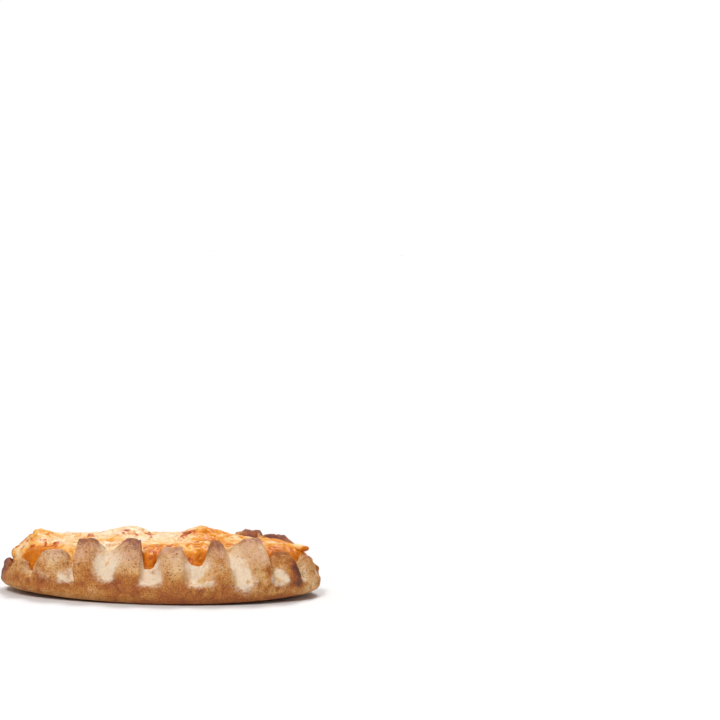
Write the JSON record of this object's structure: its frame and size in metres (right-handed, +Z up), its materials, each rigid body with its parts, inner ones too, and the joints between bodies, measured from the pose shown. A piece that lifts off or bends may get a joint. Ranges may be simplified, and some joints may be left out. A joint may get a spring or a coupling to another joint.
{
  "type": "karelian pie",
  "caption": "Oval open pie: a thin rye crust pleated up round a low mound of baked rice porridge, browned on top, lying on its flat base.",
  "frame": {"origin": "middle of the base, on the surface that the pie lies on", "axes": "+X along the pie's length, +Y across it from the pictured side to the far side, +Z up"},
  "size_m": [0.1087, 0.0679, 0.0224],
  "materials": {
    "baked_crust": "dry baked dough, floury in the grooves and browned on the crests",
    "baked_rice": "moist baked rice porridge with browned spots"
  },
  "bodies": {
    "root": {"crust": "baked_crust", "rice_filling": "baked_rice"}
  },
  "joints": []
}
